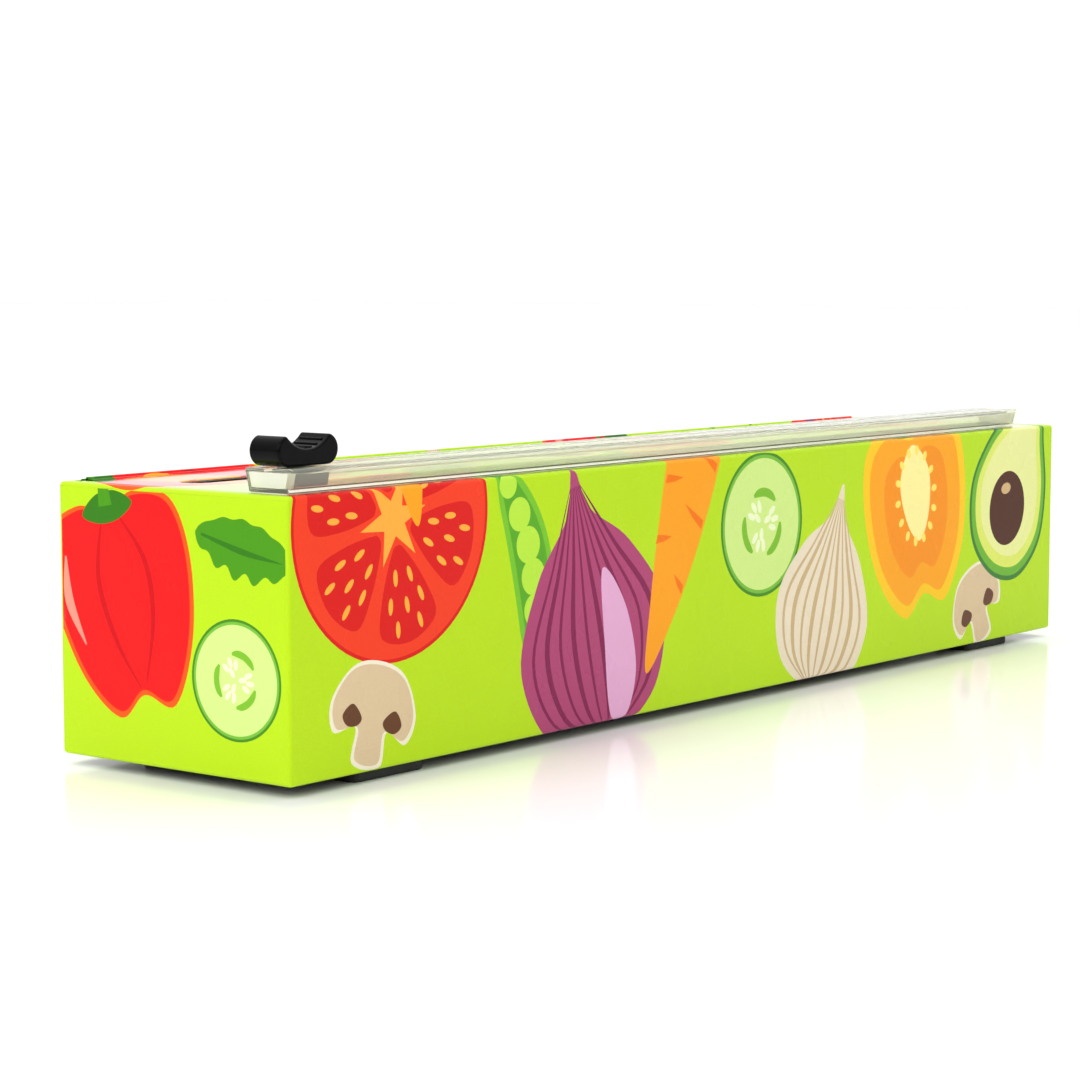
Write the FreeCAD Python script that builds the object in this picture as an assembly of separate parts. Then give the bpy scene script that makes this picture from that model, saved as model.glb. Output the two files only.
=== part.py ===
"""Cling film dispenser: a printed board box, an inset lid with a film slot and a slide cutter.

Millimetres, +Z up.  The origin is the centre of the box's footprint on the surface it rests on.
+X runs along the box, the front face looks along -Y, and the slider parks at the -X end.
Each piece is written to parts/NAME.step.
"""
import FreeCAD, Part
import math
import os

Vector = FreeCAD.Vector

# Box, outside sizes over the printed paper
box_length = 343.0
box_depth = 72.0
box_height = 63.0
foot_height = 2.5
edge_radius = 1.0
board = 2.0
paper = 0.25
lining = 0.2

# Clearance between pieces that move past each other
gap = 0.3

# Ledges that the lid rests on, glued inside the front and end boards
ledge_height = 4.0
front_ledge_width = 8.0
end_ledge_width = 5.0
back_turn_in = 10.0

# Magnetic catch: discs in the front ledge pull thin steel discs in the lid
catch_radius = 3.0
magnet_thickness = 2.0
plate_thickness = 0.8
catch_x = 120.0

# Rubber feet
foot_length = 24.0
foot_width = 12.0
foot_end_inset = 23.0
foot_side_inset = 2.0
foot_corner_radius = 2.0
foot_edge_radius = 0.5

# Lid hinge: a creased paper strip with a bead along its fold
bead_radius = 0.4
bead_rise = 0.3
bead_overlap = 0.05
hinge_strip_width = 1.7
hinge_end_inset = 3.5

# Lid
lid_corner_radius = 1.0
lid_lining = 0.15
slot_length = 313.0
slot_width = 8.0
slot_centre_y = 10.0

# Cutter track: a clear channel with flaring walls and a slit along its top
track_length = 320.0
track_start = 3.0
track_base_width = 11.7
track_top_width = 14.3
track_height = 5.3
track_wall = 1.0
track_lip = 0.9
track_slit = 2.4
track_centre_y = -27.35
tape_thickness = 0.3
tape_inset = 0.4
stop_length = 2.2

# Slider: a thumb knob over the track, on a shoe that runs inside it, with a diamond blade
knob_length = 19.2
knob_width = 9.0
knob_height = 6.8
knob_start = 1.6
knob_edge_radius = 0.6
crest_radius = 0.8
saddle_length = 13.6
saddle_dip = 3.1
rib_count = 7
rib_radius = 0.3
rib_side_inset = 1.2
shoe_length = 11.4
shoe_corner_radius = 1.2
neck_length = 5.0
neck_width = 1.6
neck_socket_depth = 1.6
blade_thickness = 0.4
blade_half_length = 5.2
blade_half_height = 3.2

# Film roll
core_length = 308.0
core_outer_radius = 17.0
core_inner_radius = 15.5
film_width = 305.0
film_radius = 23.5

# Planes worked out from the sizes above
half_length = box_length / 2
half_depth = box_depth / 2
top = foot_height + box_height
board_top = top - paper
floor_top = foot_height + paper + board
rim = paper + board + paper
opening_half_length = half_length - rim
opening_half_depth = half_depth - rim
wall_half_length = half_length - paper - board
wall_half_depth = half_depth - paper - board

lid_thickness = paper + board + lid_lining
lid_bottom = top - lid_thickness
lid_board_bottom = lid_bottom + lid_lining
ledge_top = lid_bottom - gap
ledge_bottom = ledge_top - ledge_height

hinge_y = opening_half_depth - bead_radius + bead_overlap
hinge_z = top + bead_rise
lid_half_length = opening_half_length - gap
lid_front = -(opening_half_depth - gap)
lid_back = hinge_y - bead_radius - gap

track_left = track_start - half_length
track_right = track_left + track_length
track_bottom = top + tape_thickness
track_top = track_bottom + track_height
channel_floor = track_bottom + track_wall
channel_roof = track_top - track_lip

knob_left = knob_start - half_length
knob_centre_x = knob_left + knob_length / 2
knob_bottom = track_top + gap
shoe_left = track_left + stop_length + gap
slider_travel = track_right - stop_length - gap - (shoe_left + shoe_length)
roll_z = floor_top + lining + gap + film_radius


def slab(x_range, y_range, z_range):
    """A box from its ranges along X, Y and Z."""
    low = Vector(x_range[0], y_range[0], z_range[0])
    high = Vector(x_range[1], y_range[1], z_range[1])
    size = high - low
    return Part.makeBox(size.x, size.y, size.z, low)


def upright_edges(shape):
    """The straight edges of a shape that run along Z."""
    return [edge for edge in shape.Edges if abs(edge.tangentAt(edge.FirstParameter).z) > 0.99]


def rounded_slab(x_range, y_range, z_range, radius):
    """A slab with its four upright edges rounded."""
    body = slab(x_range, y_range, z_range)
    return body.makeFillet(radius, upright_edges(body))


def profile_along_x(points, x_start, length):
    """A solid with the outline given as (y, z) points, running along +X."""
    corners = [Vector(x_start, y, z) for y, z in points]
    face = Part.Face(Part.makePolygon(corners + corners[:1]))
    return face.extrude(Vector(length, 0, 0))


def envelope(inset):
    """The closed box's outside, moved in by inset, with every edge rounded."""
    body = slab((-half_length + inset, half_length - inset), (-half_depth + inset, half_depth - inset),
                (foot_height + inset, top - inset))
    return body.makeFillet(edge_radius - inset, body.Edges)


def board_panel(x_range, y_range, z_range):
    """A board of the box, rounded where it meets the box's edges."""
    return slab(x_range, y_range, z_range).common(envelope(paper))


def end_paper(side):
    """Printed paper on the flat of one end: side is -1 for the slider's end and 1 for the other."""
    faces = sorted((side * half_length, side * (half_length - paper)))
    return slab(faces, (-half_depth + edge_radius, half_depth - edge_radius),
                (foot_height + edge_radius, top - edge_radius))


def outer_paper():
    """Printed paper over the front, underside, back, corners and rim, turned in at the opening."""
    skin = envelope(0).cut(envelope(paper))
    inside = slab((-opening_half_length, opening_half_length), (-opening_half_depth, opening_half_depth),
                  (ledge_top - back_turn_in, top + 1))
    rim_cover = skin.cut(inside)
    turn_in = slab((-wall_half_length, wall_half_length), (-wall_half_depth, wall_half_depth),
                   (ledge_top, board_top)).cut(inside)
    back_flap = slab((-wall_half_length, wall_half_length), (opening_half_depth, wall_half_depth),
                     (board_top - back_turn_in, ledge_top))
    wrapped = rim_cover.fuse([turn_in, back_flap]).removeSplitter()
    return wrapped.cut([end_paper(-1), end_paper(1)])


def lining_tray():
    """White paper tray that lines the floor and walls."""
    lined_top = board_top - back_turn_in
    outside = slab((-wall_half_length, wall_half_length), (-wall_half_depth, wall_half_depth),
                   (floor_top, lined_top))
    inside = slab((-wall_half_length + lining, wall_half_length - lining),
                  (-wall_half_depth + lining, wall_half_depth - lining),
                  (floor_top + lining, lined_top + 1))
    return outside.cut(inside)


def catch_discs(bottom, thickness):
    """The two catch discs at one height: magnets in the ledge or steel plates in the lid."""
    y = -wall_half_depth + front_ledge_width / 2
    return [Part.makeCylinder(catch_radius, thickness, Vector(x, y, bottom)) for x in (-catch_x, catch_x)]


def ledge(x_range, y_range):
    """A board strip that the lid rests on."""
    return slab(x_range, y_range, (ledge_bottom, ledge_top))


def rubber_foot(x_side, y_side):
    """One foot pad under a corner."""
    x_range = sorted(x_side * (half_length - foot_end_inset - reach) for reach in (0, foot_length))
    y_range = sorted(y_side * (half_depth - foot_side_inset - reach) for reach in (0, foot_width))
    pad = rounded_slab(x_range, y_range, (0, foot_height), foot_corner_radius)
    sole = [edge for edge in pad.Edges if edge.BoundBox.ZMax < foot_height / 2]
    return pad.makeFillet(foot_edge_radius, sole)


def hinge_strip():
    """Paper strip glued on the back rim, with the rolled bead that the lid folds about."""
    half_strip = lid_half_length - hinge_end_inset
    bead_start = Vector(-half_strip, hinge_y, hinge_z)
    bead = Part.makeCylinder(bead_radius, 2 * half_strip, bead_start, Vector(1, 0, 0))
    leaf = slab((-half_strip, half_strip), (opening_half_depth, opening_half_depth + hinge_strip_width),
                (top, top + lining))
    web = slab((-half_strip, half_strip), (hinge_y, opening_half_depth + lining), (top, hinge_z))
    return bead.fuse([leaf, web.cut(leaf)]).removeSplitter()


def film_slot(z_range):
    """The long round-ended hole in the lid that the film comes up through."""
    return rounded_slab((-slot_length / 2, slot_length / 2),
                        (slot_centre_y - slot_width / 2, slot_centre_y + slot_width / 2),
                        z_range, slot_width / 2 - 0.001)


def lid_plate(inset, z_range):
    """A rounded plate of the lid's outline, moved in by inset and cut by the slot."""
    plate = rounded_slab((-lid_half_length + inset, lid_half_length - inset),
                         (lid_front + inset, lid_back - inset), z_range, lid_corner_radius - inset)
    return plate.cut(film_slot((z_range[0] - 1, z_range[1] + 1)))


def lid_board():
    """Stiff board of the lid, with pockets under it for the catch plates."""
    plate = lid_plate(paper, (lid_board_bottom, board_top))
    return plate.cut(catch_discs(lid_board_bottom, plate_thickness))


def lid_paper():
    """Printed paper over the lid's top and down its edges."""
    return lid_plate(0, (lid_bottom, top)).cut(lid_plate(paper, (lid_bottom - 1, board_top)))


def track_outline(inset, z_low, z_high):
    """Corners of the track's flaring section between two heights, moved in by inset."""
    flare = (track_top_width - track_base_width) / 2 / track_height
    half_low = track_base_width / 2 + flare * (z_low - track_bottom) - inset
    half_high = track_base_width / 2 + flare * (z_high - track_bottom) - inset
    y = track_centre_y
    return [(y - half_low, z_low), (y + half_low, z_low), (y + half_high, z_high), (y - half_high, z_high)]


def cutter_track():
    """Clear channel: floor, two flaring walls and two lips with the slit between them."""
    outside = profile_along_x(track_outline(0, track_bottom, track_top), track_left, track_length)
    hollow = profile_along_x(track_outline(track_wall, channel_floor, channel_roof), track_left, track_length)
    slit = slab((track_left, track_right),
                (track_centre_y - track_slit / 2, track_centre_y + track_slit / 2),
                (channel_roof, track_top))
    return outside.cut(hollow).cut(slit)


def track_tape():
    """Adhesive tape between the track and the lid."""
    half_width = track_base_width / 2 - tape_inset
    return slab((track_left, track_right), (track_centre_y - half_width, track_centre_y + half_width),
                (top, track_bottom))


def track_stop(x_start):
    """Plug in one end of the channel that the shoe stops against."""
    section = track_outline(track_wall, channel_floor, channel_roof)
    return profile_along_x(section, x_start, stop_length)


def blade(thickness):
    """Diamond of thin steel, standing in the slit with its long corners along X."""
    centre_z = track_top
    y = track_centre_y - thickness / 2
    corners = [Vector(knob_centre_x - blade_half_length, y, centre_z),
               Vector(knob_centre_x, y, centre_z - blade_half_height),
               Vector(knob_centre_x + blade_half_length, y, centre_z),
               Vector(knob_centre_x, y, centre_z + blade_half_height)]
    face = Part.Face(Part.makePolygon(corners + corners[:1]))
    return face.extrude(Vector(0, thickness, 0))


def neck():
    """Stem through the slit, from the shoe up into the knob."""
    return slab((knob_centre_x - neck_length / 2, knob_centre_x + neck_length / 2),
                (track_centre_y - neck_width / 2, track_centre_y + neck_width / 2),
                (channel_roof - gap, knob_bottom + neck_socket_depth))


def slider_shoe():
    """Shoe that fills the channel with running clearance, with its neck."""
    section = track_outline(track_wall + gap, channel_floor + gap, channel_roof - gap)
    shoe = profile_along_x(section, shoe_left, shoe_length)
    corners = [edge for edge in shoe.Edges
               if abs(edge.Vertexes[0].X - edge.Vertexes[1].X) < 0.001
               and abs(edge.Vertexes[0].Z - edge.Vertexes[1].Z) > 0.1]
    shoe = shoe.makeFillet(shoe_corner_radius, corners)
    return shoe.fuse(neck()).cut(blade(blade_thickness))


def saddle_arc():
    """Radius of the thumb saddle and the height of its axis."""
    half = saddle_length / 2
    radius = (half * half + saddle_dip * saddle_dip) / (2 * saddle_dip)
    return radius, knob_bottom + knob_height - saddle_dip + radius


def along_y(edges):
    """The edges that run the knob's width."""
    return [edge for edge in edges if edge.Length > knob_width * 0.9
            and abs(edge.tangentAt(edge.FirstParameter).y) > 0.99]


def knob_body():
    """Bar with half-round ends and a thumb saddle, its crests and side edges softened."""
    y_range = (track_centre_y - knob_width / 2, track_centre_y + knob_width / 2)
    bar = slab((knob_left, knob_left + knob_length), y_range, (knob_bottom, knob_bottom + knob_height))
    bar = bar.makeFillet(knob_height / 2 - 0.001, along_y(bar.Edges))
    radius, axis_z = saddle_arc()
    scoop_start = Vector(knob_centre_x, y_range[0] - 1, axis_z)
    bar = bar.cut(Part.makeCylinder(radius, knob_width + 2, scoop_start, Vector(0, 1, 0)))
    crests = [edge for edge in along_y(bar.Edges) if edge.BoundBox.ZMin > knob_bottom + 0.9 * knob_height]
    bar = bar.makeFillet(crest_radius, crests)
    sides = [face for face in bar.Faces if face.Surface.TypeId == "Part::GeomPlane"
             and abs(face.normalAt(0, 0).y) > 0.99]
    return bar.makeFillet(knob_edge_radius, [edge for face in sides for edge in face.Edges])


def saddle_ribs():
    """Grip ribs across the saddle, evenly spaced round its arc."""
    radius, axis_z = saddle_arc()
    half_angle = math.asin(saddle_length / 2 / radius)
    ribs = []
    for index in range(rib_count):
        angle = half_angle * (2 * (index + 1) / (rib_count + 1) - 1)
        start = Vector(knob_centre_x + radius * math.sin(angle),
                       track_centre_y - knob_width / 2 + rib_side_inset,
                       axis_z - radius * math.cos(angle))
        ribs.append(Part.makeCylinder(rib_radius, knob_width - 2 * rib_side_inset, start, Vector(0, 1, 0)))
    return ribs


def slider_knob():
    """Thumb knob with grip ribs, and a socket under it for the neck and blade."""
    return knob_body().fuse(saddle_ribs()).cut([neck(), blade(blade_thickness)])


def tube(outer_radius, inner_radius, length):
    """A tube on the roll's axis."""
    start = Vector(-length / 2, 0, roll_z)
    outside = Part.makeCylinder(outer_radius, length, start, Vector(1, 0, 0))
    return outside.cut(Part.makeCylinder(inner_radius, length, start, Vector(1, 0, 0)))


def box_boards():
    """The five boards of the box."""
    panel_z = (floor_top, top)
    full_length = (-half_length, half_length)
    between_boards = (-wall_half_depth, wall_half_depth)
    return {
        "bottom_board": board_panel(full_length, (-half_depth, half_depth), (foot_height, floor_top)),
        "front_board": board_panel(full_length, (-half_depth, -wall_half_depth), panel_z),
        "back_board": board_panel(full_length, (wall_half_depth, half_depth), panel_z),
        "left_end_board": board_panel((-half_length, -wall_half_length), between_boards, panel_z),
        "right_end_board": board_panel((wall_half_length, half_length), between_boards, panel_z),
    }


def box_ledges():
    """The ledges that the lid rests on, and the magnets in the front one."""
    back_of_front_ledge = -wall_half_depth + front_ledge_width
    beside_front_ledge = (back_of_front_ledge, wall_half_depth - paper)
    magnets = catch_discs(ledge_top - magnet_thickness, magnet_thickness)
    front_strip = ledge((-wall_half_length, wall_half_length), (-wall_half_depth, back_of_front_ledge))
    left_range = (-wall_half_length, -wall_half_length + end_ledge_width)
    right_range = (wall_half_length - end_ledge_width, wall_half_length)
    return {
        "front_ledge": front_strip.cut(magnets),
        "left_ledge": ledge(left_range, beside_front_ledge),
        "right_ledge": ledge(right_range, beside_front_ledge),
        "catch_magnets": Part.makeCompound(magnets),
    }


def box_papers():
    """Printed papers, lining and hinge strip of the box."""
    return {
        "outer_wrap": outer_paper(),
        "left_end_wrap": end_paper(-1),
        "right_end_wrap": end_paper(1),
        "inner_liner": lining_tray(),
        "hinge_strip": hinge_strip(),
    }


def box_feet():
    """The four foot pads."""
    return {
        "rubber_foot_front_left": rubber_foot(-1, -1),
        "rubber_foot_front_right": rubber_foot(1, -1),
        "rubber_foot_back_left": rubber_foot(-1, 1),
        "rubber_foot_back_right": rubber_foot(1, 1),
    }


def lid_pieces():
    """The lid's layers and the cutter track stuck on it."""
    return {
        "lid_board": lid_board(),
        "lid_wrap": lid_paper(),
        "lid_liner": lid_plate(paper, (lid_bottom, lid_board_bottom)),
        "catch_plates": Part.makeCompound(catch_discs(lid_board_bottom, plate_thickness)),
        "track_tape": track_tape(),
        "cutter_track": cutter_track(),
        "track_stop_left": track_stop(track_left),
        "track_stop_right": track_stop(track_right - stop_length),
    }


def slider_pieces():
    """The slide cutter."""
    return {
        "slider_knob": slider_knob(),
        "slider_shoe": slider_shoe(),
        "cutter_blade": blade(blade_thickness),
    }


def roll_pieces():
    """The film on its card core."""
    return {
        "film_core": tube(core_outer_radius, core_inner_radius, core_length),
        "film_roll": tube(film_radius, core_outer_radius, film_width),
    }


os.makedirs("parts", exist_ok=True)
box_piece_groups = {**box_boards(), **box_ledges(), **box_papers(), **box_feet()}
pieces = {**box_piece_groups, **lid_pieces(), **slider_pieces(), **roll_pieces()}
for name, shape in pieces.items():
    shape.exportStep("parts/" + name + ".step")
    print(f"{name}: {len(shape.Solids)} solid(s), {shape.Volume:.2f} mm3, valid {shape.isValid()}")
print(f"hinge axis at y {hinge_y:.2f}, z {hinge_z:.2f}")
print(f"roll axis at z {roll_z:.2f}; slider travel {slider_travel:.2f}")
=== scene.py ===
"""Looks of the cling film dispenser: a printed box, a clear cutter track and a black slider."""
import math
import random

import bmesh
import bpy
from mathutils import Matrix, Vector
from mathutils.geometry import delaunay_2d_cdt


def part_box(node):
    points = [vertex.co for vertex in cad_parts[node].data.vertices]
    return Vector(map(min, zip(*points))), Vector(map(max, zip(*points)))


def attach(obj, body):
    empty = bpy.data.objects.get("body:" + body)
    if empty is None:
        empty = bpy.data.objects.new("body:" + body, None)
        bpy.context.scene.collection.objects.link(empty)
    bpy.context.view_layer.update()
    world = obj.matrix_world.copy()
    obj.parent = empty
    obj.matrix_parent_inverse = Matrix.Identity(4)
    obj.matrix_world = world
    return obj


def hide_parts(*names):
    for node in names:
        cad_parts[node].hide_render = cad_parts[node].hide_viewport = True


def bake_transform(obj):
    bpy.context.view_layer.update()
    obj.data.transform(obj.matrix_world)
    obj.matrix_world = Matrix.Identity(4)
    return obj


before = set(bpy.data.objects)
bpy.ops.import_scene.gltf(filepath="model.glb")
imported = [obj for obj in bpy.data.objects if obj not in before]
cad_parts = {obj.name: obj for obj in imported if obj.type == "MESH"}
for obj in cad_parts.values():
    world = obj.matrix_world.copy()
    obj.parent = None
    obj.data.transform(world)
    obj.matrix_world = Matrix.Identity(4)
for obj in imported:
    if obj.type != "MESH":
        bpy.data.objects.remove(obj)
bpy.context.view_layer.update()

MM = 0.001

# ---------------------------------------------------------------- sizes, in millimetres, from the frame


def box_mm(node):
    """Lowest and highest corner of a CAD node, in millimetres."""
    low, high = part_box(node)
    return low / MM, high / MM


WRAP_LOW, WRAP_HIGH = box_mm("outer_wrap")
LENGTH = WRAP_HIGH.x - WRAP_LOW.x
DEPTH = WRAP_HIGH.y - WRAP_LOW.y
HEIGHT = WRAP_HIGH.z - WRAP_LOW.z
EDGE = 1.0
PAPER = 0.25
RIM = 2.5
RIM_TURN_IN = 2.7
BACK_TURN_IN = 10.2
CORNER_STEPS = 4
BASE_INSET = 2.0

LID_LOW, LID_HIGH = box_mm("lid_wrap")
LID_EDGE = 0.6
LID_CORNER = 1.0
SLOT_LENGTH = 313.0
SLOT_WIDTH = 8.0
SLOT_CENTRE_Y = 10.0

HINGE_Y = 33.15
HINGE_Z = 65.80
LEAF_RISE = 0.2
LEAF_EDGE_RISE = 0.02
LEAF_TAPER = 0.25
LEAF_REACH = 2.0

TRACK_BASE = 11.7
TRACK_WALL = 1.0
TRACK_LIP = 0.9
TRACK_SLIT = 2.4

CORE_RADIUS = 17.0

# ---------------------------------------------------------------- inks of the print


def ink(red, green, blue):
    """A linear colour from screen values of 0 to 255."""
    linear = []
    for value in (red, green, blue):
        share = value / 255
        linear.append(share / 12.92 if share <= 0.04045 else ((share + 0.055) / 1.055) ** 2.4)
    return (*linear, 1.0)


LIME = ink(188, 228, 30)
LEAF = ink(76, 152, 24)
LEAF_DARK = ink(54, 124, 24)
STEM = ink(120, 190, 50)
CARROT = ink(255, 166, 34)
CARROT_DARK = ink(248, 122, 18)
CREAM = ink(238, 224, 198)
CREAM_DARK = ink(206, 180, 136)
RADISH = ink(250, 50, 30)
RADISH_DARK = ink(202, 26, 24)
AVOCADO_EDGE = ink(62, 128, 52)
AVOCADO_SKIN = ink(112, 184, 50)
AVOCADO_FLESH = ink(226, 238, 110)
AVOCADO_PALE = ink(238, 242, 160)
PIT = ink(80, 40, 18)
PIT_LIGHT = ink(214, 180, 128)
MUSHROOM = ink(222, 198, 160)
MUSHROOM_EDGE = ink(246, 238, 214)
GILLS = ink(104, 66, 42)
PEPPER_SKIN = ink(255, 206, 34)
PEPPER_FLESH = ink(255, 170, 30)
PEPPER_DEEP = ink(250, 150, 24)
PITH = ink(255, 244, 160)
SEED = ink(255, 232, 108)
TOMATO = ink(246, 66, 36)
TOMATO_DARK = ink(222, 30, 26)
TOMATO_SEED = ink(255, 176, 66)
RIND_DARK = ink(70, 140, 36)
RIND = ink(122, 190, 62)
CUCUMBER = ink(212, 240, 140)
CUCUMBER_ARC = ink(128, 192, 50)
CUCUMBER_SEED = ink(242, 252, 206)
ONION = ink(178, 74, 118)
ONION_DARK = ink(134, 38, 82)
ONION_PALE = ink(232, 176, 214)
POD = ink(122, 198, 48)
POD_DARK = ink(92, 172, 40)
PEA = ink(188, 236, 70)
RED_SKIN = ink(242, 26, 28)
RED_EDGE = ink(252, 92, 26)
RED_DEEP = ink(206, 16, 24)
RED_SHINE = ink(255, 150, 130)
# painted shade: the unseen underside is set near black to deepen the contact shadow in the gap under the box
UNDERSIDE_PAINTED_SHADE = ink(44, 46, 42)

# ---------------------------------------------------------------- drawing tools: outlines in millimetres


def oval(x, y, across, up, tilt=0.0, count=40):
    """An ellipse's outline, turned by tilt degrees."""
    cos, sin = math.cos(math.radians(tilt)), math.sin(math.radians(tilt))
    points = []
    for step in range(count):
        angle = 2 * math.pi * step / count
        px = across * math.cos(angle)
        py = up * math.sin(angle)
        points.append((x + px * cos - py * sin, y + px * sin + py * cos))
    return points


def rectangle(x0, x1, y0, y1):
    """A rectangle's four corners."""
    return [(x0, y0), (x1, y0), (x1, y1), (x0, y1)]


def spline_point(p0, p1, p2, p3, t):
    """A point on the Catmull-Rom curve between p1 and p2."""
    point = []
    for a, b, c, d in zip(p0, p1, p2, p3):
        square = 2 * a - 5 * b + 4 * c - d
        cubic = 3 * b - a - 3 * c + d
        point.append(0.5 * (2 * b + (c - a) * t + square * t * t + cubic * t ** 3))
    return tuple(point)


def smooth_loop(points, steps=8):
    """A closed smooth outline through a few points."""
    count = len(points)
    return [spline_point(points[i - 1], points[i], points[(i + 1) % count], points[(i + 2) % count],
                         k / steps)
            for i in range(count) for k in range(steps)]


def mirrored(half):
    """A loop that is the same on both sides, from its right half between two points on the middle line."""
    return half + [(-x, y) for x, y in half[-2:0:-1]]


def smooth_path(points, steps=8):
    """An open smooth line through a few points."""
    padded = [points[0], *points, points[-1]]
    line = [spline_point(*padded[i:i + 4], k / steps) for i in range(len(points) - 1) for k in range(steps)]
    return [*line, tuple(map(float, points[-1]))]


def stroke(points, widths, steps=8):
    """The outline of a brush stroke along a smooth line, its half-width given at each point."""
    line = smooth_path([(*point, width) for point, width in zip(points, widths)], steps)
    left, right = [], []
    for index, (x, y, width) in enumerate(line):
        before = line[max(index - 1, 0)]
        after = line[min(index + 1, len(line) - 1)]
        dx, dy = after[0] - before[0], after[1] - before[1]
        size = math.hypot(dx, dy) or 1.0
        half = max(width, 0.02)
        left.append((x - dy / size * half, y + dx / size * half))
        right.append((x + dy / size * half, y - dx / size * half))
    return left + right[::-1]


def arc_stroke(x, y, radius, start, end, half_width):
    """A rounded stroke along an arc between two angles in degrees."""
    angles = [math.radians(start + (end - start) * k / 6) for k in range(7)]
    points = [(x + radius * math.cos(a), y + radius * math.sin(a)) for a in angles]
    return stroke(points, [half_width * w for w in (0.35, 0.85, 1, 1, 1, 0.85, 0.35)], 4)


def placed(drawing, x, y, turn=0.0, size=1.0):
    """A drawing moved to x, y, turned by turn degrees and scaled."""
    cos, sin = math.cos(math.radians(turn)), math.sin(math.radians(turn))
    moved = []
    for outline, colour in drawing:
        points = [(x + size * px * cos - size * py * sin, y + size * px * sin + size * py * cos)
                  for px, py in outline]
        moved.append((points, colour))
    return moved


# ---------------------------------------------------------------- vegetables, each about its own centre


def cucumber_slice():
    """A round slice, 20 mm in radius."""
    drawing = [(oval(0, 0, 20.5, 20.5, count=64), RIND_DARK), (oval(0, 0, 19.6, 19.6, count=64), RIND),
               (oval(0, 0, 18.6, 18.6, count=64), CUCUMBER)]
    for start in (20, 140, 262):
        drawing.append((arc_stroke(0, 0, 9.0, start, start + 74, 1.25), CUCUMBER_ARC))
    for step in range(3):
        angle = math.radians(120 * step + 118)
        for spread, reach in ((-0.62, 5.2), (-0.2, 6.4), (0.24, 6.0), (0.02, 3.0)):
            a = angle + spread
            drawing.append((oval(reach * math.cos(a), reach * math.sin(a), 1.9, 0.95, math.degrees(a), 16),
                            CUCUMBER_SEED))
    return drawing


def pea_pod(length=56.0, bend=7.0, peas=6):
    """An open pod that hangs from its top at the origin, bowed sideways and pointed at both ends."""
    shares = [k / 6 for k in range(7)]
    line = [(bend * math.sin(math.pi * share), -length * share) for share in shares]
    widths = [0.3 + 7.4 * math.sin(math.pi * share) ** 0.7 for share in shares]
    inner = [max(width - 1.8, 0.1) for width in widths]
    drawing = [(stroke(line, widths), POD), (stroke(line, inner), POD_DARK)]
    for index in range(peas):
        share = (index + 1) / (peas + 1)
        radius = 4.5 * math.sin(math.pi * share) ** 0.4
        pea = oval(bend * math.sin(math.pi * share), -length * share, radius, radius, count=28)
        drawing.append((pea, PEA))
    return drawing


def carrot():
    """A carrot hanging down from the origin, about 99 mm long."""
    body = [(-12, 2), (0, 5), (12, 2), (15, -24), (14, -50), (10, -74), (3, -94), (-3, -74), (-8, -50),
            (-12, -24)]
    drawing = [(smooth_loop(body), CARROT)]
    marks = ((-11, -17, 11), (13, -13, -8), (14, -27, -10), (-9, -38, 8), (13.5, -45, -11), (-7, -56, 7),
             (11, -66, -6))
    for x, y, reach in marks:
        mark = [(x, y - 1.4), (x + reach * 0.55, y + 0.6), (x + reach, y + 3.2), (x + reach * 0.4, y + 2.2),
                (x, y + 1.4)]
        drawing.append((mark, CARROT_DARK))
    return drawing


def leaf(length=42.0, width=8.0, lobes=5):
    """A lobed leaf from its stalk at the origin towards +X."""
    edge = []
    for side in (1, -1):
        steps = range(49) if side == 1 else range(48, -1, -1)
        for step in steps:
            share = step / 48
            swell = width * math.sin(math.pi * min(share, 0.999)) ** 0.6
            wave = 1 + (0.05 if side == 1 else 0.2) * math.sin(2 * math.pi * lobes * share)
            edge.append((length * share, side * (0.25 + swell * wave)))
    shade = stroke([(length * 0.06, 0), (length * 0.5, -width * 0.1), (length * 0.9, 0)], [0.3, 0.7, 0.05])
    return [(edge, LEAF), (shade, LEAF_DARK)]


def bulb(body, dark, pale, stripes=7, height=52.0, width=26.0):
    """An onion or garlic bulb with stripes from its neck to its root."""
    half = [(0, height * 0.62), (width * 0.16, height * 0.44), (width * 0.62, height * 0.26),
            (width * 0.98, -2), (width * 0.72, -height * 0.34), (0, -height * 0.44)]
    drawing = [(smooth_loop(mirrored(half)), body)]
    for index in range(stripes):
        lean = 2 * (index + 0.5) / stripes - 1
        reach = lean * width * 0.92
        line = [(reach * 0.08, height * 0.54), (reach * 0.5, height * 0.28), (reach * 0.98, -1),
                (reach * 0.8, -height * 0.28), (reach * 0.16, -height * 0.42)]
        heavy = 1.0 if index % 2 else 0.6
        drawing.append((stroke(line, [0.1, 0.6 * heavy, 0.95 * heavy, 0.7 * heavy, 0.1], 6), dark))
    if pale:
        shine = smooth_loop([(width * 0.22, height * 0.2), (width * 0.46, 2),
                             (width * 0.5, -height * 0.22), (width * 0.3, -height * 0.38),
                             (width * 0.08, -height * 0.36), (width * 0.12, -6)])
        drawing.append((shine, pale))
    return drawing


def radish():
    """A round radish with a straight tail and two stalks."""
    body = mirrored([(0, 15), (9, 13), (14, 4), (11, -8), (4, -17), (1.5, -25), (0, -34)])
    drawing = [(stroke([(-1, 11), (-5, 22), (-11, 31)], [1.8, 1.5, 1.4]), LEAF),
               (stroke([(1, 11), (5, 21), (12, 29)], [1.6, 1.3, 1.6]), STEM),
               (smooth_loop(body), RADISH)]
    for y in (8, 2, -4, -10):
        for side in (1, -1):
            start = side * (11.5 + y * 0.1)
            mark = [(start, y), (start * 0.7, y + 1.2), (start * 0.4, y + 1.0)]
            drawing.append((stroke(mark, [0.1, 0.8, 0.1], 5), RADISH_DARK))
    return drawing


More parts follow.
